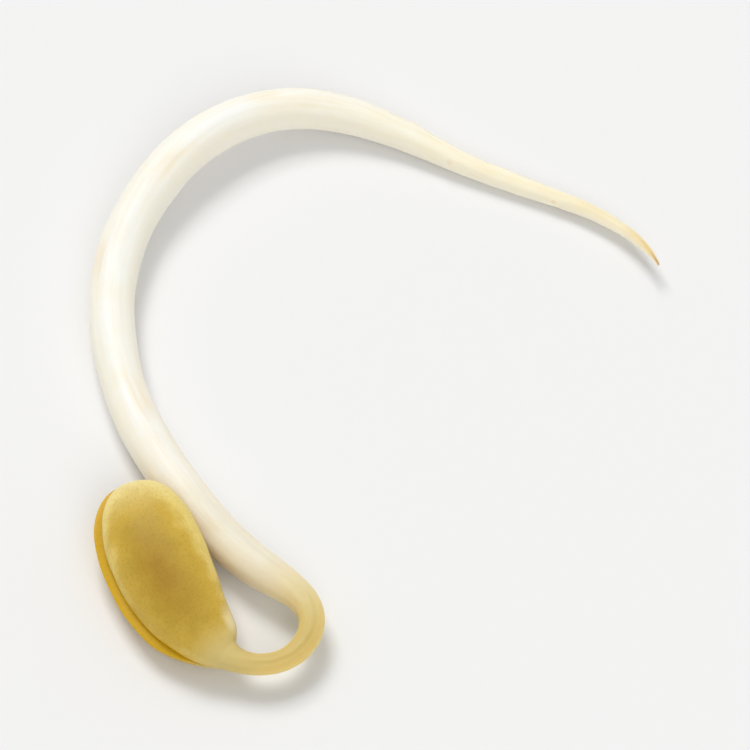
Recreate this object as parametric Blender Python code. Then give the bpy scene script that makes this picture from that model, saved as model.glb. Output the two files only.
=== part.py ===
"""Mung bean sprout lying on a flat surface: a hooked stem that runs on into the root, and its two seed leaves.

Metres, +Z up. The origin is on the surface, under the middle of the sprout's box.
Run it with blender --background --python part.py, or from Blender's text editor.
"""

import math

import bmesh
import bpy
import numpy as np
from mathutils import Matrix, Vector

MM = 0.001

# The sprout follows one midline. Distances along it are in millimetres from the node, where the seed leaves
# sit on the end of the neck: below 0 it runs through the head, above 0 through the hook and stem to the root.
NODE = 0.0
ROOT_TIP = 59.5

# (how far along, which way the midline runs there, in degrees anticlockwise from +X)
HEADINGS = (
    (-9.6, -76.0),
    (-6.0, -70.0),
    (-3.0, -60.0),
    (-1.5, -51.0),
    (0.0, -40.0),
    (0.9, -21.0),
    (2.7, 20.0),
    (4.5, 66.0),
    (5.5, 93.0),
    (6.3, 119.0),
    (7.2, 137.0),
    (8.4, 142.0),
    (10.2, 134.5),
    (12.5, 127.5),
    (15.2, 123.0),
    (18.2, 116.0),
    (21.0, 105.5),
    (24.0, 95.0),
    (27.0, 82.0),
    (30.0, 66.0),
    (34.0, 47.0),
    (37.5, 26.0),
    (41.0, -2.0),
    (44.0, -21.0),
    (47.0, -28.0),
    (50.5, -23.0),
    (54.0, -27.0),
    (57.0, -45.0),
    (59.5, -68.0),
)

# (how far along, radius in millimetres): a slim neck, a stout stem, and a root that tapers to a point
RADII = (
    (0.0, 0.60),
    (0.9, 0.52),
    (2.5, 0.48),
    (4.5, 0.54),
    (5.5, 0.59),
    (7.0, 0.72),
    (8.5, 0.87),
    (10.5, 0.96),
    (13.0, 1.01),
    (17.0, 1.06),
    (22.0, 1.03),
    (28.0, 1.06),
    (34.0, 1.03),
    (40.0, 0.95),
    (43.5, 0.81),
    (46.5, 0.64),
    (49.0, 0.53),
    (52.0, 0.45),
    (56.0, 0.32),
    (58.5, 0.18),
    (59.5, 0.06),
)

# (how far along, height of the midline above the surface in millimetres)
HEIGHTS = (
    (-9.6, 2.08),
    (-4.0, 1.68),
    (0.0, 1.50),
    (3.0, 1.42),
    (6.0, 1.46),
    (9.0, 1.34),
    (12.0, 1.08),
    (15.0, 1.05),
    (18.0, 1.09),
    (22.0, 1.13),
    (26.0, 1.15),
    (30.0, 1.35),
    (35.0, 1.70),
    (39.0, 1.45),
    (43.0, 0.96),
    (46.5, 0.66),
    (49.0, 0.54),
    (53.0, 0.50),
    (56.5, 0.72),
    (59.5, 1.20),
)

# Each seed leaf is half an egg, flat inside, cut square where it meets the neck
LEAF_MIDDLE = 5.6  # the egg's widest place, back from the node
LEAF_TO_TIP = 3.85
LEAF_TO_BASE = 5.9
LEAF_INNER_HALF = 2.30  # half width on the side towards the stem
LEAF_OUTER_HALF = 2.08
LEAF_THICKNESS = 1.68
LEAF_LEAN = 7.0  # degrees that the head leans, its side towards the stem up
LOWER_LEAF_SLIP = 0.25  # how far the lower seed leaf stands out from under the upper one, away from the stem
GAP = 0.05  # between the two seed leaves, and between them and the neck

STEM_STEP = 0.6
STEM_SIDES_SETTING = 6
LEAF_SIDES = 36
LEAF_RINGS = 26

STEM_CREAM = (0.93, 0.87, 0.70)
LEAF_YELLOW = (0.62, 0.42, 0.07)


def smooth(rows, where):
    """The smooth curve through the rows' values, read at the given places along the midline."""
    along, value = np.array(rows).T
    slope = np.gradient(value, along)
    row = np.clip(np.searchsorted(along, where) - 1, 0, len(along) - 2)
    length = along[row + 1] - along[row]
    t = (where - along[row]) / length
    from_start = (1 - t) ** 2 * ((1 + 2 * t) * value[row] + t * length * slope[row])
    from_end = t**2 * ((3 - 2 * t) * value[row + 1] + (t - 1) * length * slope[row + 1])
    return from_start + from_end


def midline(where):
    """Points of the midline, in metres, with its direction and the level direction to its left."""
    fine = np.linspace(HEADINGS[0][0], HEADINGS[-1][0], 3001)
    heading = np.radians(smooth(HEADINGS, fine))
    height = smooth(HEIGHTS, fine)
    rise = np.gradient(height, fine)
    level = np.sqrt(1 - rise**2)
    steps = np.stack([level * np.cos(heading), level * np.sin(heading), rise], axis=1)
    middles = (steps[1:] + steps[:-1]) / 2 * np.diff(fine)[:, None]
    points = np.vstack([np.zeros(3), np.cumsum(middles, axis=0)])
    points[:, 2] += height[0]
    place = np.stack([np.interp(where, fine, points[:, k]) for k in range(3)], axis=1)
    along = np.stack([np.interp(where, fine, steps[:, k]) for k in range(3)], axis=1)
    left = np.stack([-along[:, 1], along[:, 0], np.zeros(len(along))], axis=1)
    left /= np.linalg.norm(left, axis=1, keepdims=True)
    return place * MM, along, left


def finish(name, data, color, roughness):
    """Links an object for the data and gives it its own material."""
    material = bpy.data.materials.new(name)
    material.use_nodes = True
    shader = material.node_tree.nodes["Principled BSDF"]
    shader.inputs["Base Color"].default_value = (*color, 1.0)
    shader.inputs["Roughness"].default_value = roughness
    shader.inputs["Metallic"].default_value = 0.0
    data.materials.append(material)
    item = bpy.data.objects.new(name, data)
    bpy.context.scene.collection.objects.link(item)
    return item


def stem_with_root():
    """A round curve along the midline from the node to the root tip, with its own radius at each point."""
    count = round((ROOT_TIP - NODE) / STEM_STEP) + 1
    where = np.linspace(NODE, ROOT_TIP, count)
    points = midline(where)[0]
    radii = smooth(RADII, where)
    curve = bpy.data.curves.new("stem_with_root", "CURVE")
    curve.dimensions = "3D"
    curve.twist_mode = "Z_UP"
    curve.bevel_depth = MM
    curve.bevel_resolution = STEM_SIDES_SETTING
    curve.use_fill_caps = True
    spline = curve.splines.new("POLY")
    spline.points.add(count - 1)
    for point, place, radius in zip(spline.points, points, radii):
        point.co = (*place, 1.0)
        point.radius = radius
    spline.use_smooth = True
    return finish("stem_with_root", curve, STEM_CREAM, 0.35)


def seed_leaf(name, side):
    """Half an egg, above (side 1) or below (side -1) the level where the two seed leaves meet.

    A unit sphere with its poles along X is halved, cut square at its base end, closed, stretched
    to the egg's size and bent along the midline.
    """
    mesh = bmesh.new()
    poles_along_x = Matrix.Rotation(math.radians(90), 4, "Y")
    bmesh.ops.create_uvsphere(
        mesh, u_segments=LEAF_SIDES, v_segments=LEAF_RINGS, radius=1.0, matrix=poles_along_x
    )
    base = -(LEAF_MIDDLE - GAP) / LEAF_TO_BASE
    cuts = (((0, 0, 0), (0, 0, side)), ((base, 0, 0), (1, 0, 0)))
    for point, normal in cuts:
        everything = mesh.verts[:] + mesh.edges[:] + mesh.faces[:]
        cut = bmesh.ops.bisect_plane(
            mesh, geom=everything, dist=1e-6, plane_co=point, plane_no=normal, clear_inner=True
        )
        edge = [item for item in cut["geom_cut"] if isinstance(item, bmesh.types.BMEdge)]
        bmesh.ops.contextual_create(mesh, geom=edge)
    unit = np.array([vertex.co for vertex in mesh.verts])
    reach = np.where(unit[:, 0] > 0, LEAF_TO_TIP, LEAF_TO_BASE)
    place, along, left = midline(-(LEAF_MIDDLE + unit[:, 0] * reach))
    lean = math.radians(LEAF_LEAN)
    towards_stem = math.cos(lean) * left + math.sin(lean) * np.cross(along, left)
    half_width = np.where(unit[:, 1:2] > 0, LEAF_INNER_HALF, LEAF_OUTER_HALF)
    across = unit[:, 1:2] * half_width - (LOWER_LEAF_SLIP if side < 0 else 0.0)
    above = unit[:, 2:3] * LEAF_THICKNESS + side * GAP / 2
    points = place + (across * towards_stem + above * np.cross(along, towards_stem)) * MM
    for vertex, point in zip(mesh.verts, points):
        vertex.co = Vector(point)
    bmesh.ops.recalc_face_normals(mesh, faces=mesh.faces)
    if mesh.calc_volume(signed=True) < 0:
        bmesh.ops.reverse_faces(mesh, faces=mesh.faces)
    data = bpy.data.meshes.new(name)
    mesh.to_mesh(data)
    mesh.free()
    data.shade_smooth()
    data.set_sharp_from_angle(angle=math.radians(50))
    return finish(name, data, LEAF_YELLOW, 0.45)


def centre_on_origin(items):
    """Moves the sprout so that its box is centred over the origin and stands on z = 0."""
    graph = bpy.context.evaluated_depsgraph_get()
    meshes = [item.evaluated_get(graph).to_mesh() for item in items]
    points = np.array([vertex.co for mesh in meshes for vertex in mesh.vertices])
    low, high = points.min(axis=0), points.max(axis=0)
    middle = (low + high) / 2
    for item in items:
        item.location = (-middle[0], -middle[1], -low[2])


def main():
    for old in list(bpy.data.objects):
        bpy.data.objects.remove(old)
    pieces = [stem_with_root(), seed_leaf("seed_leaf_upper", 1), seed_leaf("seed_leaf_lower", -1)]
    centre_on_origin(pieces)


main()
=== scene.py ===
import math

import bpy
import numpy as np
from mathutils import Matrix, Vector


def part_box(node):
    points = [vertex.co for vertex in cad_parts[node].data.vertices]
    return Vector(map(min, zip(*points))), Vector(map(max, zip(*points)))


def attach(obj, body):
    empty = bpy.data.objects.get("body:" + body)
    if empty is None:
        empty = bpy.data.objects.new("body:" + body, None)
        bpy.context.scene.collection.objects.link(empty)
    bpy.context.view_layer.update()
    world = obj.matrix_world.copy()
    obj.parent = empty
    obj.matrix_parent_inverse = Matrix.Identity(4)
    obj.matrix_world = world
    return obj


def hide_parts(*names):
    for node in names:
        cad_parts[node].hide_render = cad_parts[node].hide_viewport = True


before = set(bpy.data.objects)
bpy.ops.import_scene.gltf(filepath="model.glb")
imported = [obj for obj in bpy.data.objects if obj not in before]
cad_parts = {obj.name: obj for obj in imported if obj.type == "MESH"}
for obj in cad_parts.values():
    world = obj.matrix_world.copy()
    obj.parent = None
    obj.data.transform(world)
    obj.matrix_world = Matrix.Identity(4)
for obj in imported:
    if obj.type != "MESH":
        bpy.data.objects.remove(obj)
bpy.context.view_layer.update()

MM = 0.001

# ---------------------------------------------------------------- the course that the sprout follows

# The sprout follows one midline. Distances along it are counted from the node, where the seed leaves sit on
# the end of the neck: below 0 it runs through the head, above 0 through the hook and stem to the root.
ROOT_TIP = 59.5

# (how far along, which way the midline runs there, in degrees anticlockwise from +X)
HEADINGS = (
    (-9.6, -76.0),
    (-6.0, -70.0),
    (-3.0, -60.0),
    (-1.5, -51.0),
    (0.0, -40.0),
    (0.9, -21.0),
    (2.7, 20.0),
    (4.5, 66.0),
    (5.5, 93.0),
    (6.3, 119.0),
    (7.2, 137.0),
    (8.4, 142.0),
    (10.2, 134.5),
    (12.5, 127.5),
    (15.2, 123.0),
    (18.2, 116.0),
    (21.0, 105.5),
    (24.0, 95.0),
    (27.0, 82.0),
    (30.0, 66.0),
    (34.0, 47.0),
    (37.5, 26.0),
    (41.0, -2.0),
    (44.0, -21.0),
    (47.0, -28.0),
    (50.5, -23.0),
    (54.0, -27.0),
    (57.0, -45.0),
    (59.5, -68.0),
)

# (how far along, radius): a slim neck, a stout stem, and a root that tapers to a point
RADII = (
    (0.0, 0.60),
    (0.9, 0.52),
    (2.5, 0.48),
    (4.5, 0.54),
    (5.5, 0.59),
    (7.0, 0.72),
    (8.5, 0.87),
    (10.5, 0.96),
    (13.0, 1.01),
    (17.0, 1.06),
    (22.0, 1.03),
    (28.0, 1.06),
    (34.0, 1.03),
    (40.0, 0.95),
    (43.5, 0.81),
    (46.5, 0.64),
    (49.0, 0.53),
    (52.0, 0.45),
    (56.0, 0.32),
    (58.5, 0.18),
    (59.5, 0.06),
)

# (how far along, height of the midline above the surface)
HEIGHTS = (
    (-9.6, 2.08),
    (-4.0, 1.68),
    (0.0, 1.50),
    (3.0, 1.42),
    (6.0, 1.46),
    (9.0, 1.34),
    (12.0, 1.08),
    (15.0, 1.05),
    (18.0, 1.09),
    (22.0, 1.13),
    (26.0, 1.15),
    (30.0, 1.35),
    (35.0, 1.70),
    (39.0, 1.45),
    (43.0, 0.96),
    (46.5, 0.66),
    (49.0, 0.54),
    (53.0, 0.50),
    (56.5, 0.72),
    (59.5, 1.20),
)

# The head: each seed leaf is half a bean, its flat side on the seam
LEAF_MIDDLE = 5.6  # from the node to where the head is widest
LEAF_TO_TIP = 3.85
LEAF_TO_BASE = 5.9
LEAF_INNER_HALF = 2.30  # half width on the side towards the stem
LEAF_OUTER_HALF = 2.08
LEAF_CROWN = 1.56  # the dome's height over its rim
LEAF_LIP = 0.09  # the rounded rim's height over the flat side
LEAF_LEAN = 7.0  # degrees that the head leans, its side towards the stem up
LOWER_LEAF_SLIP = 0.40  # how far the lower leaf stands out from under the upper one, away from the stem
SEAM = 0.02  # the gap between the two flat sides
SHEATH = 1.15  # how far a leaf's stalk clasps the neck past the node
PATCH_MIDDLE = 3.8  # from the node to the middle of the darker patch on a leaf's back
PATCH_TO_TIP = 5.6  # from the patch's middle to where it has faded to the rim's tone
PATCH_TO_BASE = 4.6
PATCH_OUTWARD = 0.2  # how far the patch lies off the leaf's middle line, away from the stem

MIDLINE_POINTS = 3001
TUBE_RINGS = 1200  # of the plain tube that shows where the stem lies in the frame

# The skins' grids. A skin's last ring stops just short of the tip, so that it is small, but never a point.
STEM_START = -0.25  # inside the stalks
STEM_END = ROOT_TIP - 0.004
STEM_RINGS = 980
STEM_SIDES = 88
STEM_STRIPS = 3  # how many strips its map is cut into
LEAF_END = math.pi / 2 - 0.006  # as the angle whose sine is the share of the leaf's length
LEAF_RINGS = 300
LEAF_SIDES = 220
LEAF_STRIPS = 1
MAP_MARGIN = 0.01  # round each strip of a skin's map, as a share of the strip


def smooth(rows, where):
    """The smooth curve through the rows' values, read at the given places along the midline."""
    along, value = np.array(rows).T
    slope = np.gradient(value, along)
    row = np.clip(np.searchsorted(along, where) - 1, 0, len(along) - 2)
    length = along[row + 1] - along[row]
    t = (where - along[row]) / length
    from_start = (1 - t) ** 2 * ((1 + 2 * t) * value[row] + t * length * slope[row])
    from_end = t**2 * ((3 - 2 * t) * value[row + 1] + (t - 1) * length * slope[row + 1])
    return from_start + from_end


def midline(where):
    """Points of the midline, with its direction and the level direction to its left.

    It starts at the head's tip and takes small steps, each along the heading there and up or down with the
    height. The points are the running sum of the steps.
    """
    fine = np.linspace(HEADINGS[0][0], HEADINGS[-1][0], MIDLINE_POINTS)
    heading = np.radians(smooth(HEADINGS, fine))
    height = smooth(HEIGHTS, fine)
    rise = np.gradient(height, fine)
    level = np.sqrt(1 - rise**2)
    steps = np.stack([level * np.cos(heading), level * np.sin(heading), rise], axis=1)
    middles = (steps[1:] + steps[:-1]) / 2 * np.diff(fine)[:, None]
    points = np.vstack([np.zeros(3), np.cumsum(middles, axis=0)])
    points[:, 2] += height[0]
    place = np.stack([np.interp(where, fine, points[:, k]) for k in range(3)], axis=1)
    along = np.stack([np.interp(where, fine, steps[:, k]) for k in range(3)], axis=1)
    left = np.stack([-along[:, 1], along[:, 0], np.zeros(len(along))], axis=1)
    left /= np.linalg.norm(left, axis=1, keepdims=True)
    return place, along, left


def to_frame():
    """How far the midline moves to lie in the frame, from the stem's own box.

    A plain tube reaches its radius times the sine of the angle between the midline and each axis beyond the
    midline. The middle of its box moves to the middle of the frame's stem.
    """
    where = np.linspace(0.0, ROOT_TIP, TUBE_RINGS)
    place, along, _ = midline(where)
    reach = smooth(RADII, where)[:, None] * np.sqrt(1 - along**2)
    tube_middle = ((place - reach).min(axis=0) + (place + reach).max(axis=0)) / 2
    low, high = (np.array(corner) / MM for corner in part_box("stem_with_root"))
    return (low + high) / 2 - tube_middle


def ripples(places, length, seed):
    """Smooth unevenness, mostly between -1 and 1: the mean of 24 sine waves about one length long.

    The waves run in directions that the seed draws, and places is an array whose last axis is x, y, z.
    """
    count = 24
    draw = np.random.default_rng(seed)
    waves = draw.normal(size=(3, count))
    waves *= 2 * np.pi / length * draw.uniform(0.7, 1.4, count) / np.linalg.norm(waves, axis=0)
    mean_to_full = 2.8  # the mean of so many waves is rarely past 1 / 2.8
    return np.sin(places @ waves + draw.uniform(0, 2 * np.pi, count)).mean(axis=-1) * mean_to_full


def ease(low, high, value):
    """0 below low, 1 above high, and 3 t^2 - 2 t^3 between them. It falls where low is above high."""
    t = np.clip((value - low) / (high - low), 0, 1)
    return t * t * (3 - 2 * t)


def bell(middle, width, value):
    """1 at the middle, falling to 1/e one width away: exp(-((value - middle) / width)^2)."""
    return np.exp(-(((value - middle) / width) ** 2))


def pressed(points, softness=0.012):
    """The points, with what would dip under the surface pressed flat on it.

    A height z becomes (z + sqrt(z^2 + softness^2)) / 2.
    """
    points = points.copy()
    points[..., 2] = (points[..., 2] + np.sqrt(points[..., 2] ** 2 + softness**2)) / 2
    return points


def ring_faces(count, sides):
    """Faces over a grid of rings: four-sided ones between neighbouring rings, and a fan on each end.

    The fans meet at the two points that come after the rings' own, the first ring's middle and the last's.
    """
    ring, side = np.meshgrid(np.arange(count - 1), np.arange(sides), indexing="ij")
    after = (side + 1) % sides
    corners = ((ring, side), (ring, after), (ring + 1, after), (ring + 1, side))
    quads = np.stack([row * sides + place for row, place in corners], axis=-1).reshape(-1, 4)
    around = np.arange(sides)
    onward = (around + 1) % sides
    last = (count - 1) * sides
    first_fan = np.stack([np.full(sides, count * sides), onward, around], axis=1)
    last_fan = np.stack([np.full(sides, count * sides + 1), last + around, last + onward], axis=1)
    return [*quads.tolist(), *first_fan.tolist(), *last_fan.tolist()]


def unrolled(count, sides, strips):
    """The map of the faces that ring_faces makes, with a place in the unit square for each corner.

    The skin is slit along its length and unrolled, and cut across into strips that lie side by side, so that
    a long thin skin fills a square. Each strip is a run of rings. The fans lie in the margins, before the
    first ring and after the last.
    """

    def inset(share):
        """A share of a strip, moved in from its edges by the margin."""
        return MAP_MARGIN + (1 - 2 * MAP_MARGIN) * share

    ring, side = np.meshgrid(np.arange(count - 1), np.arange(sides), indexing="ij")
    per_strip = math.ceil((count - 1) / strips)
    strip = (ring // per_strip)[..., None]
    across = np.stack([side, side + 1, side + 1, side], axis=-1) / sides
    down = (np.stack([ring, ring, ring + 1, ring + 1], axis=-1) - strip * per_strip) / per_strip
    quad_map = np.stack([(strip + inset(across)) / strips, inset(down)], axis=-1).reshape(-1, 2)

    around = np.arange(sides)
    first_across = inset(np.stack([around + 0.5, around + 1, around], axis=1) / sides) / strips
    first_down = np.tile([0.0, MAP_MARGIN, MAP_MARGIN], (sides, 1))
    last_across = (strips - 1 + inset(np.stack([around + 0.5, around, around + 1], axis=1) / sides)) / strips
    end = inset((count - 1 - (strips - 1) * per_strip) / per_strip)
    last_down = np.tile([end + MAP_MARGIN, end, end], (sides, 1))
    first_map = np.stack([first_across, first_down], axis=-1).reshape(-1, 2)
    last_map = np.stack([last_across, last_down], axis=-1).reshape(-1, 2)
    return np.vstack([quad_map, first_map, last_map])


def skin(name, rings, tracks, strips, material, cad_node):
    """A closed skin over a grid of points: rings[i, j] is point j of ring i, in millimetres.

    tracks are values kept on every point for the material, by name. strips is how many strips the skin's map
    has. The skin stands for the CAD node, whose part it hides, and takes the material it is given.
    """
    count, sides = rings.shape[:2]

    def with_ends(values):
        """Every point's values, ring by ring, and then the means of the first ring and of the last."""
        values = values.reshape(count, sides, -1)
        return np.vstack([values.reshape(count * sides, -1), values[0].mean(axis=0), values[-1].mean(axis=0)])

    mesh = bpy.data.meshes.new(name)
    mesh.from_pydata(with_ends(rings) * MM, [], ring_faces(count, sides))
    mesh.polygons.foreach_set("use_smooth", np.ones(len(mesh.polygons), dtype=bool))
    layer = mesh.uv_layers.new(name="OFBake")
    layer.uv.foreach_set("vector", unrolled(count, sides, strips).ravel().astype(np.float32))
    for track, values in tracks.items():
        values = with_ends(values)
        wide = values.shape[1] == 3
        kept = mesh.attributes.new(track, "FLOAT_VECTOR" if wide else "FLOAT", "POINT")
        kept.data.foreach_set("vector" if wide else "value", values.ravel().astype(np.float32))
    mesh.materials.append(material)
    piece = bpy.data.objects.new(name, mesh)
    bpy.context.scene.collection.objects.link(piece)
    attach(piece, "root")
    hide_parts(cad_node)


# ---------------------------------------------------------------- the stem and root

ROOT_STARTS = (43.0, 47.0)  # over this length the stem passes into the root
FLARE = 0.24  # how much wider than round the neck is at the node, sideways, as a share
FLARE_LENGTH = 0.85
OVALNESS = 0.028  # as a share of the radius
GIRTH_RIPPLE = (0.020, 4.5)  # height as a share of the radius, and length
COARSE_RIPPLE = (0.010, 1.1)  # height and length, as in the next one
FINE_RIPPLE = (0.005, 0.55)
RIBS = (11, 0.004)  # how many there are round the stem, and their height
FURROWS = (6, 0.014)  # how many there are round the root, and their depth
FURROWS_FADE = (59.0, 55.0)  # where they have ended, and where they are whole
SKIN_GETS_UNEVEN = (0.3, 2.5)  # it is plain at the node, where the seed leaves' stalks clasp it
CREASE_SPACING = 0.24
CREASE_DEPTH = 0.011
HOOK = (5.6, 1.5)  # the middle of its bend, and how far its creases reach from there
TIP_ROUNDING = 0.12  # the length over which the root's very end is rounded off

# Small dents in the stem: (how far along, turn round the stem in degrees, half length, depth)
DENTS = (
    (12.2, 60.0, 0.9, 0.030),
    (19.5, 115.0, 1.6, 0.035),
    (27.3, 40.0, 1.3, 0.030),
    (33.0, 100.0, 1.9, 0.040),
    (38.6, 70.0, 1.0, 0.030),
)
DENT_TURN = 0.45  # a dent's half width, in radians round the stem
DENT_MARK = 0.5  # how strongly a dent is marked at its middle, as a share
# Buds of side roots under the root's skin: (how far along, turn round the root in degrees, height)
BUDS = (
    (45.6, 40.0, 0.085),
    (47.9, 140.0, 0.080),
    (50.4, 55.0, 0.070),
    (53.1, 150.0, 0.055),
)
BUD_HALF_LENGTH = 0.22
BUD_TURN = 0.36  # a bud's half width, in radians round the root
BUD_MARK = 0.9


def flare(along):
    """How much wider than round the neck is, sideways, as a share: a bell at the node."""
    return FLARE * bell(0.0, FLARE_LENGTH, along)


def turned_from(facing, round_):
    """How far round_ is turned from a facing, in radians from -pi to pi. The facing is in degrees."""
    return (round_ - math.radians(facing) + np.pi) % (2 * np.pi) - np.pi


def stem_unevenness(straight, round_, radius):
    """How far the stem's skin stands out from a plain round tube.

    Its section is an oval that turns along the length, a cosine of twice the turn. Ripples vary its girth and
    then its surface, and cosines of more turns are faint ribs on the stem and furrows on the root, which sway
    to either side by a sine of the length.
    """
    along = straight[..., 2]
    rooty = ease(*ROOT_STARTS, along)
    ribs = np.cos(RIBS[0] * round_ + 1.2 * np.sin(along / 4.1)) * (1 - rooty)
    furrows = np.cos(FURROWS[0] * round_ + 1.5 * np.sin(along / 1.7)) * rooty * ease(*FURROWS_FADE, along)
    uneven = OVALNESS * radius * np.cos(2 * round_ - 0.21 * along + 0.6)
    uneven += GIRTH_RIPPLE[0] * radius * ripples(straight * (0.0, 0.0, 1.0), GIRTH_RIPPLE[1], 3)
    uneven += COARSE_RIPPLE[0] * ripples(straight * (1.0, 1.0, 0.45), COARSE_RIPPLE[1], 5)
    uneven += FINE_RIPPLE[0] * ripples(straight * (1.0, 1.0, 0.6), FINE_RIPPLE[1], 7)
    uneven += RIBS[1] * ribs + FURROWS[1] * furrows
    return uneven * ease(*SKIN_GETS_UNEVEN, along)


def stem_rings():
    """Rings of the stem and root, with the tracks that the material reads.

    A point is the midline plus its radius, turned round it from the left through the top. The radius is the
    sprout's plus its unevenness. At the node it widens sideways by a bell into the seed leaves' stalks. The
    inside of the hook is creased across by a cosine where the bend squeezes it, and dents and side root buds
    are bells. Over its last stretch the root is rounded off as a quarter of an ellipse.

    The tracks are the point on the stem laid out straight, how far sideways it faces, and how strongly a dent
    or bud marks it.
    """
    where = np.linspace(STEM_START, STEM_END, STEM_RINGS)
    turn = np.linspace(0, 2 * np.pi, STEM_SIDES, endpoint=False)
    along, round_ = np.meshgrid(where, turn, indexing="ij")
    place, forward, left = midline(where)
    up = np.cross(forward, left)
    radius = smooth(RADII, np.maximum(along, 0.0))
    straight = np.stack([radius * np.cos(round_), radius * np.sin(round_), along], axis=-1)

    bumpy = radius + stem_unevenness(straight, round_, radius)
    creases = 0.5 + 0.5 * np.cos(2 * np.pi * along / CREASE_SPACING + 1.3 * np.sin(3.1 * along))
    inside_hook = bell(*HOOK, along) * np.clip(np.cos(round_), 0, 1) ** 2
    bumpy -= CREASE_DEPTH * inside_hook * creases
    marks = np.zeros_like(along)
    for at, facing, half_length, depth in DENTS:
        dent = bell(at, half_length, along) * bell(0, DENT_TURN, turned_from(facing, round_))
        bumpy -= depth * dent
        marks += DENT_MARK * dent
    for at, facing, height in BUDS:
        bud = bell(at, BUD_HALF_LENGTH, along) * bell(0, BUD_TURN, turned_from(facing, round_))
        bumpy += height * bud
        marks += BUD_MARK * bud**2
    from_tip = np.clip((ROOT_TIP - along) / TIP_ROUNDING, 0, 1)
    bumpy *= np.sqrt(1 - (1 - from_tip) ** 2)
    sideways = bumpy * (1 + flare(along)) * np.cos(round_)
    upwards = bumpy * np.sin(round_)
    rings = place[:, None] + sideways[..., None] * left[:, None] + upwards[..., None] * up[:, None]
    return rings, {"straight": straight, "sideways": np.cos(round_), "marks": marks}


# ---------------------------------------------------------------- the seed leaves

# A leaf's shape is made of superellipses, whose exponent is 2 for an ellipse and higher for a squarer one
OUTLINE_TO_BASE = 2.0
OUTLINE_TO_TIP = 2.25
CROWN_ALONG = (2.3, 2.1)  # the crown's height along the leaf, as the exponents of the length and the height
FLAT_SIDE = 7.0  # across the leaf
DOME_FULLNESS = 0.09  # the dome's exponent across the leaf is 2 / (1 - this)

STALK_CLEARANCE = 0.02  # how far the stalk stands off the neck at the node
STALK_SINKS = 0.07  # how far it sinks from there by its far end, so that it ends inside the neck's skin
NECK_ENDS = (3.2, 0.2)  # where the neck's share of the leaf begins, and where it is whole
# Over these lengths past the node the lip, the unevenness and the lower leaf's slip set in
LIP_SETS_IN = (-0.8, 1.6)
UNEVENNESS_SETS_IN = (0.3, 2.2)
SLIP_SETS_IN = (0.0, 2.5)
DOME_RIPPLE = (0.018, 2.4)  # height and length, as in the next one
OUTLINE_RIPPLE = (0.022, 1.9)
GROOVE_DEPTH = 0.035
GROOVE_ACROSS = (0.15, 0.42)  # its middle and half width
GROOVE_ALONG = (4.6, 2.4)  # its middle and half length
RIM_WAVE = 0.05
LOBE = 0.34  # how far the rim's base is pulled back over the neck, on the side towards the stem
OUTER_LOBE = 0.25  # the outer side's lobe, as a share of that one
LOBE_ALONG = (0.75, 0.7)  # its middle and half length
LOBE_ACROSS = (0.45, 0.95)  # where it begins and where it is whole, as shares of the half width


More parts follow.
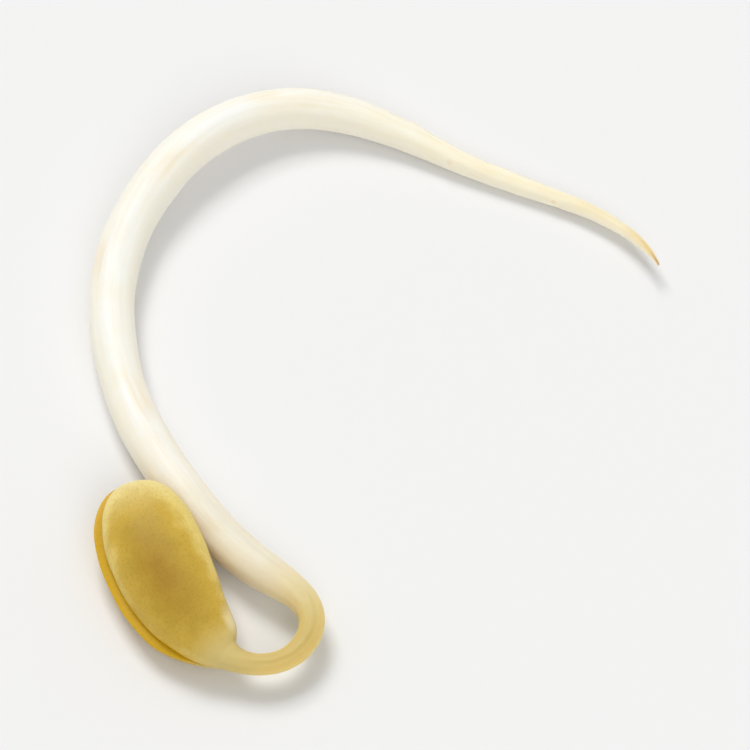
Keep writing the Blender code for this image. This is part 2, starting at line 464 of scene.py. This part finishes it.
def leaf_rings(side):
    """Rings of one seed leaf, from the end of its stalk on the neck to its tip. side is 1 above, -1 below.

    The half width is a superellipse's, and where it narrows it is joined to the neck's by the cube root of
    the sum of cubes. The dome over the rim is half a superellipse in section, and the flat side is a flatter
    one with rounded corners. Ripples make the dome and the outline uneven, a bell presses a shallow groove
    along the dome, and a sine waves the rim. On the side towards the stem the rim's base is pulled back to a
    blunt lobe over the neck.

    The tracks are the point on the leaf laid out straight, its height on the dome as a share, how far it is
    from the darker patch's middle, where 1 is about the leaf's rim, and how much it belongs to the lobe.
    """
    run = np.sin(np.linspace(0, LEAF_END, LEAF_RINGS))
    turn = np.linspace(0, 2 * np.pi, LEAF_SIDES, endpoint=False)
    length = SHEATH + LEAF_MIDDLE + LEAF_TO_TIP
    out, round_ = np.meshgrid(length * run - SHEATH, turn, indexing="ij")
    inner = np.cos(round_) > 0
    part = (out - LEAF_MIDDLE) / np.where(out > LEAF_MIDDLE, LEAF_TO_TIP, LEAF_TO_BASE)
    exponent = np.where(part > 0, OUTLINE_TO_TIP, OUTLINE_TO_BASE)
    outline = np.clip(1 - np.abs(part) ** exponent, 0, None) ** (1 / exponent)
    fuller = np.clip(1 - np.abs(part) ** CROWN_ALONG[0], 0, None) ** (1 / CROWN_ALONG[1])
    neck = smooth(RADII, np.maximum(-out, 0.0)) + STALK_CLEARANCE - STALK_SINKS * ease(0.1, SHEATH, -out)
    neck *= ease(*NECK_ENDS, out)
    half = np.where(inner, LEAF_INNER_HALF, LEAF_OUTER_HALF)
    half_width = ((half * outline) ** 3 + (neck * (1 + flare(out))) ** 3) ** (1 / 3)
    lip = LEAF_LIP * ease(*LIP_SETS_IN, out) * np.minimum(1.0, 1.6 * outline + 1e-6)
    crown = ((LEAF_CROWN * fuller) ** 3 + neck**3) ** (1 / 3)

    cosine, sine = np.cos(round_), np.sin(round_)
    dome = sine >= 0
    power = np.where(dome, 1 - DOME_FULLNESS * ease(0.0, 2.0, out), 2 / FLAT_SIDE)
    across = half_width * np.sign(cosine) * np.abs(cosine) ** power
    above = SEAM / 2 + lip + np.where(dome, crown, -lip) * np.abs(sine) ** power
    straight = np.stack([out, across, above * side], axis=-1)

    rim = np.abs(across) / half_width.clip(1e-6)
    uneven = ease(*UNEVENNESS_SETS_IN, out)
    above += DOME_RIPPLE[0] * uneven * ripples(straight, DOME_RIPPLE[1], 11 + side) * dome * sine
    above -= GROOVE_DEPTH * uneven * bell(*GROOVE_ACROSS, across) * bell(*GROOVE_ALONG, out) * dome
    along_only = straight * (1.0, 0.0, 0.0)
    across += OUTLINE_RIPPLE[0] * uneven * ripples(along_only, OUTLINE_RIPPLE[1], 21 + side) * rim**4
    wave = RIM_WAVE * uneven * np.sin(0.9 * out + 0.4) * rim
    lobe = bell(*LOBE_ALONG, out) * ease(*LOBE_ACROSS, rim)
    pulled = out - LOBE * lobe * np.where(inner, 1.0, OUTER_LOBE)
    if side < 0:
        across -= LOWER_LEAF_SLIP * ease(*SLIP_SETS_IN, out)

    place, forward, left = midline(-pulled.ravel())
    lean = math.radians(LEAF_LEAN)
    towards_stem = math.cos(lean) * left + math.sin(lean) * np.cross(forward, left)
    out_of_seam = np.cross(forward, towards_stem)
    rings = place + across.reshape(-1, 1) * towards_stem
    rings += (side * above + wave).reshape(-1, 1) * out_of_seam
    rings = rings.reshape(*out.shape, 3)

    patch_length = np.where(out > PATCH_MIDDLE, PATCH_TO_TIP, PATCH_TO_BASE)
    patch_along = (out - PATCH_MIDDLE) / patch_length
    patch_across = (straight[..., 1] + PATCH_OUTWARD) / half
    tracks = {
        "straight": straight,
        "height": np.where(dome, np.abs(sine) ** power * crown / LEAF_CROWN, 0.0),
        "from_patch": np.hypot(patch_along, patch_across),
        "lobe": np.where(inner, lobe, 0.0),
    }
    if side > 0:  # the upper leaf's rings run round the other way, and its faces would point inwards
        return rings[:, ::-1], {name: values[:, ::-1] for name, values in tracks.items()}
    return rings, tracks


# ---------------------------------------------------------------- materials

NECK_YELLOW = "#d3bd79"  # where the leaves' stalks and the neck have grown together, they share it


def linear(colour):
    """An sRGB hex colour as linear red, green, blue and alpha."""
    parts = [int(colour[k : k + 2], 16) / 255 for k in (1, 3, 5)]
    return (*[((c + 0.055) / 1.055) ** 2.4 if c > 0.04045 else c / 12.92 for c in parts], 1.0)


def add(tree, kind, inputs=None, stops=None, **settings):
    """Adds a node with its settings.

    inputs gives a socket's value, or the socket that feeds it, by name or number. stops are a colour ramp's,
    each a position and a colour.
    """
    made = tree.nodes.new(kind)
    for name, value in settings.items():
        setattr(made, name, value)
    for key, value in (inputs or {}).items():
        if isinstance(value, bpy.types.NodeSocket):
            tree.links.new(value, made.inputs[key])
        else:
            made.inputs[key].default_value = value
    if stops:
        ramp = made.color_ramp
        while len(ramp.elements) < len(stops):
            ramp.elements.new(1.0)
        for element, (position, colour) in zip(ramp.elements, stops):
            element.position = position
            element.color = linear(colour)
    return made


def new_material(name):
    """A material with only its output node, its tree, and that node."""
    material = bpy.data.materials.new(name)
    material.use_nodes = True
    material.node_tree.nodes.clear()
    return material, material.node_tree, material.node_tree.nodes.new("ShaderNodeOutputMaterial")


def moist_sprout_skin():
    """Blanched bean sprout stem, grown in the dark and rinsed.

    Water-filled cells under a thin wet skin: light soaks in and comes out creamy, long cells show as faint
    streaks, and the wet skin gives a soft highlight. The neck and hook are still yellow, and the root is
    cream with a golden brown tip.
    """
    streak_width = 0.12
    cloud_size = 1.5
    pore_size = 0.18
    relief_depth = 0.03
    soak_depth = 0.6

    material, tree, output = new_material("moist_sprout_skin")
    straight = add(tree, "ShaderNodeAttribute", attribute_name="straight")
    sideways = add(tree, "ShaderNodeAttribute", attribute_name="sideways")
    parts = add(tree, "ShaderNodeSeparateXYZ", {0: straight.outputs["Vector"]})
    # How far along, as a share of the whole length
    far = add(tree, "ShaderNodeMath", {0: parts.outputs["Z"], 1: ROOT_TIP}, operation="DIVIDE")
    base = add(
        tree,
        "ShaderNodeValToRGB",
        {0: far.outputs[0]},
        stops=(
            (0.00, NECK_YELLOW),
            (0.05, "#d3bd76"),
            (0.075, "#d1bc75"),
            (0.10, "#dccb90"),
            (0.126, "#e8dcb6"),
            (0.151, "#ece6d5"),
            (0.20, "#ebe8db"),
            (0.25, "#f6f3ea"),
            (0.30, "#fef8f2"),
            (0.62, "#fef8f2"),
            (0.74, "#fbf4e6"),
            (0.85, "#f6efd9"),
            (0.95, "#f0e5c6"),
            (0.985, "#dcc288"),
            (1.00, "#9c7742"),
        ),
    )
    # Long cells: streaks 0.12 mm wide and about 20 times as long
    streak_place = add(
        tree, "ShaderNodeMapping", {0: straight.outputs["Vector"], "Scale": (1.0, 1.0, 1 / 20)}
    )
    streaks = add(
        tree,
        "ShaderNodeTexNoise",
        {
            "Vector": streak_place.outputs[0],
            "Scale": 1 / (2 * streak_width),
            "Detail": 3.0,
            "Roughness": 0.6,
        },
    )
    streak_share = add(
        tree,
        "ShaderNodeMapRange",
        {0: streaks.outputs[0], "From Min": 0.40, "From Max": 0.72, "To Min": 0.0, "To Max": 0.22},
    )
    streaked = add(
        tree,
        "ShaderNodeMix",
        {0: streak_share.outputs[0], 6: base.outputs[0], 7: linear("#e2d5ae")},
        data_type="RGBA",
        blend_type="MULTIPLY",
    )
    # Cloudy patches about 1.5 mm across
    clouds = add(
        tree,
        "ShaderNodeTexNoise",
        {"Vector": straight.outputs["Vector"], "Scale": 1 / cloud_size, "Detail": 2.0},
    )
    cloud_share = add(
        tree,
        "ShaderNodeMapRange",
        {0: clouds.outputs[0], "From Min": 0.42, "From Max": 0.68, "To Min": 0.0, "To Max": 0.14},
    )
    clouded = add(
        tree,
        "ShaderNodeMix",
        {0: cloud_share.outputs[0], 6: streaked.outputs[2], 7: linear("#f6eccb")},
        data_type="RGBA",
        blend_type="MULTIPLY",
    )
    # At the node, where the seed leaves' stalks clasp the neck, its skin is one with theirs
    past_node = add(
        tree,
        "ShaderNodeMapRange",
        {0: parts.outputs["Z"], "From Min": 0.4, "From Max": 2.4, "To Min": 0.0, "To Max": 1.0},
        interpolation_type="SMOOTHSTEP",
    )
    # Painted shade: the flanks are painted creamier than the back, and deep yellow round the hook and neck,
    # as the shade on a round stem's sides
    flank_shade_colour = add(
        tree,
        "ShaderNodeValToRGB",
        {0: far.outputs[0]},
        stops=(
            (0.09, "#e9ce7e"),
            (0.115, "#ecdaa6"),
            (0.14, "#efe3c2"),
            (0.25, "#f7edd6"),
            (0.40, "#f9efde"),
        ),
    )
    across = add(tree, "ShaderNodeMath", {0: sideways.outputs["Fac"]}, operation="ABSOLUTE")
    flank_shade_share = add(
        tree,
        "ShaderNodeMapRange",
        {0: across.outputs[0], "From Min": 0.20, "From Max": 1.0, "To Min": 0.0, "To Max": 0.70},
        interpolation_type="SMOOTHSTEP",
    )
    flank_shade_past_node = add(
        tree, "ShaderNodeMath", {0: flank_shade_share.outputs[0], 1: past_node.outputs[0]}, operation="MULTIPLY"
    )
    flank_shaded = add(
        tree,
        "ShaderNodeMix",
        {0: flank_shade_past_node.outputs[0], 6: clouded.outputs[2], 7: flank_shade_colour.outputs[0]},
        data_type="RGBA",
    )
    # Bruised dents and the side root buds are tan, broken up by the streaks
    marks = add(tree, "ShaderNodeAttribute", attribute_name="marks")
    bruise = add(
        tree, "ShaderNodeMath", {0: marks.outputs["Fac"], 1: streaks.outputs[0]}, operation="MULTIPLY"
    )
    bruise_share = add(
        tree,
        "ShaderNodeMapRange",
        {0: bruise.outputs[0], "From Min": 0.08, "From Max": 0.5, "To Min": 0.0, "To Max": 0.5},
    )
    colour = add(
        tree,
        "ShaderNodeMix",
        {0: bruise_share.outputs[0], 6: flank_shaded.outputs[2], 7: linear("#deca90")},
        data_type="RGBA",
    )
    # Skin cells 0.07 mm across are too fine to show, so the fine unevenness is drawn 0.18 mm wide
    pores = add(
        tree,
        "ShaderNodeTexNoise",
        {"Vector": straight.outputs["Vector"], "Scale": 1 / pore_size, "Detail": 2.0},
    )
    relief = add(
        tree,
        "ShaderNodeMath",
        {0: streaks.outputs[0], 1: 1.0, 2: pores.outputs[0]},
        operation="MULTIPLY_ADD",
    )
    bump = add(
        tree,
        "ShaderNodeBump",
        {"Strength": 0.35, "Distance": relief_depth * MM, "Height": relief.outputs[0]},
    )
    gloss = add(
        tree,
        "ShaderNodeMapRange",
        {0: clouds.outputs[0], "From Min": 0.3, "From Max": 0.7, "To Min": 0.48, "To Max": 0.62},
    )
    shader = add(
        tree,
        "ShaderNodeBsdfPrincipled",
        {
            "Base Color": colour.outputs[2],
            "Roughness": gloss.outputs[0],
            "IOR": 1.38,
            "Normal": bump.outputs[0],
            "Subsurface Weight": past_node.outputs[0],
            "Subsurface Radius": (1.0, 0.92, 0.80),
            "Subsurface Scale": soak_depth * MM,
            "Coat Weight": 0.05,
            "Coat Roughness": 0.25,
        },
    )
    tree.links.new(shader.outputs[0], output.inputs[0])
    return material


def waxy_seed_leaf(name, centre, middle, outer, rim, face, tip):
    """Seed leaf of a bean sprout, a fleshy half bean with a thin waxy skin.

    Dense and starchy, so light goes in only a little. Its golden rim is thin, its back is browner with a
    darker patch along the middle, and the wax gives a broad soft highlight over fine dimples. The colours
    also paint
    light: the rim is brighter, partly its thin margin and partly a painted highlight, the patch is darker,
    partly its own tone and partly painted shade, and the tip is paler as a painted highlight. centre, middle,
    outer and rim are the back's colours outwards from the patch, face is the flat side's, and tip is the
    painted highlight that the leaf fades to at its tip.
    """
    patch_size = 0.9
    speck_size = 0.12
    dimple_size = 0.22
    relief_depth = 0.03
    soak_depth = 0.35

    material, tree, output = new_material(name)
    straight = add(tree, "ShaderNodeAttribute", attribute_name="straight")
    height = add(tree, "ShaderNodeAttribute", attribute_name="height")
    from_patch = add(tree, "ShaderNodeAttribute", attribute_name="from_patch")
    lobe = add(tree, "ShaderNodeAttribute", attribute_name="lobe")
    parts = add(tree, "ShaderNodeSeparateXYZ", {0: straight.outputs["Vector"]})
    # The darker patch fades to the bright rim, partly the leaf's own tones and partly painted light: painted
    # shade on the middle of the back and a painted highlight along the rim. Patches 0.9 mm across make the
    # bounds of its tones wander
    patches = add(
        tree,
        "ShaderNodeTexNoise",
        {"Vector": straight.outputs["Vector"], "Scale": 1 / patch_size, "Detail": 4.0},
    )
    wander = add(
        tree,
        "ShaderNodeMapRange",
        {0: patches.outputs[0], "From Min": 0.25, "From Max": 0.75, "To Min": -0.12, "To Max": 0.12},
    )
    tone = add(tree, "ShaderNodeMath", {0: from_patch.outputs["Fac"], 1: wander.outputs[0]}, operation="ADD")
    base = add(
        tree,
        "ShaderNodeValToRGB",
        {0: tone.outputs[0]},
        stops=((0.10, centre), (0.48, middle), (0.80, outer), (0.99, rim)),
    )
    # The flat side and the sharp edge round it have a colour of their own
    on_back = add(
        tree,
        "ShaderNodeMapRange",
        {0: height.outputs["Fac"], "From Min": 0.03, "From Max": 0.14, "To Min": 0.0, "To Max": 1.0},
        interpolation_type="SMOOTHSTEP",
    )
    patched = add(
        tree,
        "ShaderNodeMix",
        {0: on_back.outputs[0], 6: linear(face), 7: base.outputs[0]},
        data_type="RGBA",
    )
    # Painted highlight: the tip is painted paler, as the soft glare it catches
    tip_highlight_share = add(
        tree,
        "ShaderNodeMapRange",
        {0: parts.outputs["X"], "From Min": 7.0, "From Max": 9.4, "To Min": 0.0, "To Max": 0.6},
        interpolation_type="SMOOTHSTEP",
    )
    tip_highlighted = add(
        tree,
        "ShaderNodeMix",
        {0: tip_highlight_share.outputs[0], 6: patched.outputs[2], 7: linear(tip)},
        data_type="RGBA",
    )
    # Fine specks 0.12 mm across
    specks = add(
        tree,
        "ShaderNodeTexNoise",
        {"Vector": straight.outputs["Vector"], "Scale": 1 / speck_size, "Detail": 2.0},
    )
    speck_share = add(
        tree,
        "ShaderNodeMapRange",
        {0: specks.outputs[0], "From Min": 0.5, "From Max": 0.8, "To Min": 0.0, "To Max": 0.35},
    )
    specked = add(
        tree,
        "ShaderNodeMix",
        {0: speck_share.outputs[0], 6: tip_highlighted.outputs[2], 7: linear("#d8b45a")},
        data_type="RGBA",
        blend_type="MULTIPLY",
    )
    # The stalk takes the neck's paler yellow
    stalk = add(
        tree,
        "ShaderNodeMapRange",
        {0: parts.outputs["X"], "From Min": -0.5, "From Max": 1.2, "To Min": 1.0, "To Max": 0.0},
        interpolation_type="SMOOTHSTEP",
    )
    stalked = add(
        tree,
        "ShaderNodeMix",
        {0: stalk.outputs[0], 6: specked.outputs[2], 7: linear(NECK_YELLOW)},
        data_type="RGBA",
    )
    # The lobe over the neck is thin and cream
    lobe_share = add(
        tree,
        "ShaderNodeMapRange",
        {0: lobe.outputs["Fac"], "From Min": 0.2, "From Max": 0.95, "To Min": 0.0, "To Max": 0.75},
    )
    colour = add(
        tree,
        "ShaderNodeMix",
        {0: lobe_share.outputs[0], 6: stalked.outputs[2], 7: linear("#efe4bd")},
        data_type="RGBA",
    )
    # Dimples 0.22 mm across
    dimples = add(
        tree, "ShaderNodeTexVoronoi", {"Vector": straight.outputs["Vector"], "Scale": 1 / dimple_size}
    )
    relief = add(
        tree,
        "ShaderNodeMath",
        {0: dimples.outputs["Distance"], 1: 0.6, 2: patches.outputs[0]},
        operation="MULTIPLY_ADD",
    )
    bump = add(
        tree,
        "ShaderNodeBump",
        {"Strength": 0.3, "Distance": relief_depth * MM, "Height": relief.outputs[0]},
    )
    gloss = add(
        tree,
        "ShaderNodeMapRange",
        {0: patches.outputs[0], "From Min": 0.3, "From Max": 0.7, "To Min": 0.48, "To Max": 0.62},
    )
    # As on the neck, light soaks in only away from the node, so that the two skins meet without a step
    soak = add(
        tree,
        "ShaderNodeMapRange",
        {0: parts.outputs["X"], "From Min": 0.0, "From Max": 1.6, "To Min": 0.0, "To Max": 0.35},
        interpolation_type="SMOOTHSTEP",
    )
    shader = add(
        tree,
        "ShaderNodeBsdfPrincipled",
        {
            "Base Color": colour.outputs[2],
            "Roughness": gloss.outputs[0],
            "IOR": 1.38,
            "Normal": bump.outputs[0],
            "Subsurface Weight": soak.outputs[0],
            "Subsurface Radius": (1.0, 0.75, 0.35),
            "Subsurface Scale": soak_depth * MM,
            "Specular IOR Level": 0.35,
            "Coat Weight": 0.04,
            "Coat Roughness": 0.25,
        },
    )
    tree.links.new(shader.outputs[0], output.inputs[0])
    return material


def matt_white_board():
    """White painted board: flat, even and without gloss, so it only takes the soft shadow."""
    material, tree, output = new_material("matt_white_board")
    shader = add(
        tree,
        "ShaderNodeBsdfPrincipled",
        {"Base Color": linear("#eff0f1"), "Roughness": 0.95, "Specular IOR Level": 0.0},
    )
    tree.links.new(shader.outputs[0], output.inputs[0])
    return material


# ---------------------------------------------------------------- the sprout

to_place = to_frame()

stem_points, stem_tracks = stem_rings()
skin(
    "sprout_stem_and_root",
    pressed(stem_points + to_place),
    stem_tracks,
    STEM_STRIPS,
    moist_sprout_skin(),
    "stem_with_root",
)

# The two leaves are the same tissue. The upper leaf's paler rim and tip are a painted highlight, and the
# lower leaf, which lies under it, is painted a deeper, darker gold on its face, rim and tip as painted shade.
lit_upper_wax = waxy_seed_leaf(
    "waxy_seed_leaf",
    centre="#ab851f",
    middle="#bc9c38",
    outer="#d0af47",
    rim="#e8d178",
    face="#e0b02c",
    tip="#f4e6a8",
)
shaded_lower_wax = waxy_seed_leaf(
    "waxy_seed_leaf_underside",
    centre="#af8922",
    middle="#be9c34",
    outer="#cfa836",
    rim="#d2ab2a",
    face="#cca60f",
    tip="#e6be4a",
)
# (side of the seam, name, material, CAD node)
LEAVES = (
    (1, "waxy_leaf_upper", lit_upper_wax, "seed_leaf_upper"),
    (-1, "waxy_leaf_lower", shaded_lower_wax, "seed_leaf_lower"),
)
for seam_side, leaf_name, leaf_wax, leaf_node in LEAVES:
    leaf_points, leaf_tracks = leaf_rings(seam_side)
    skin(
        leaf_name,
        pressed(leaf_points + to_place),
        leaf_tracks,
        LEAF_STRIPS,
        leaf_wax,
        leaf_node,
    )

# ---------------------------------------------------------------- floor, light and camera, in metres

MIDDLE = Vector((0.0, 0.0, 0.0015))
FLOOR_HALF = 1.5
CAMERA_ELEVATION = 58.0  # degrees above the floor
CAMERA_DISTANCE = 0.378
CAMERA_LENS = 400  # millimetres
CAMERA_NEAREST = 0.01

# The room round the sprout, pale at its level and duller overhead: (sine of the elevation, colour)
ROOM = ((0.0, "#f1f1f0"), (0.08, "#f1f1f0"), (0.25, "#b4b4b3"), (1.0, "#b4b4b3"))


def aim(thing, place):
    """Puts a lamp or camera at a place, looking at the sprout's middle."""
    thing.location = place
    thing.rotation_mode = "QUATERNION"
    thing.rotation_quaternion = (MIDDLE - Vector(place)).to_track_quat("-Z", "Y")
    bpy.context.scene.collection.objects.link(thing)


def softbox(name, place, size, power, colour):
    """A square soft lamp of this size in metres and power in watts."""
    lamp = bpy.data.lights.new(name, "AREA")
    lamp.size = size
    lamp.energy = power
    lamp.color = linear(colour)[:3]
    aim(bpy.data.objects.new(name, lamp), place)


corners = [(x * FLOOR_HALF, y * FLOOR_HALF, 0) for x, y in ((-1, -1), (1, -1), (1, 1), (-1, 1))]
floor_mesh = bpy.data.meshes.new("floor")
floor_mesh.from_pydata(corners, [], [(0, 1, 2, 3)])
floor_mesh.materials.append(matt_white_board())
floor = bpy.data.objects.new("floor", floor_mesh)
bpy.context.scene.collection.objects.link(floor)

softbox("key_softbox", (-0.7, 1.6, 2.7), 1.4, 54.0, "#fffdfb")
softbox("fill_softbox", (0.7, -2.3, 2.1), 2.0, 27.0, "#fefdfc")

world = bpy.data.worlds.new("white_studio")
bpy.context.scene.world = world
world.use_nodes = True
sky = world.node_tree
direction = add(sky, "ShaderNodeTexCoord")
rise = add(sky, "ShaderNodeSeparateXYZ", {0: direction.outputs["Generated"]})
room = add(sky, "ShaderNodeValToRGB", {0: rise.outputs["Z"]}, stops=ROOM)
sky.links.new(room.outputs[0], sky.nodes["Background"].inputs["Color"])

camera_data = bpy.data.cameras.new("camera")
camera_data.lens = CAMERA_LENS
camera_data.clip_start = CAMERA_NEAREST
camera = bpy.data.objects.new("camera", camera_data)
elevation = math.radians(CAMERA_ELEVATION)
aim(camera, MIDDLE + CAMERA_DISTANCE * Vector((0.0, -math.cos(elevation), math.sin(elevation))))
bpy.context.scene.camera = camera
bpy.context.scene.view_settings.view_transform = "Standard"
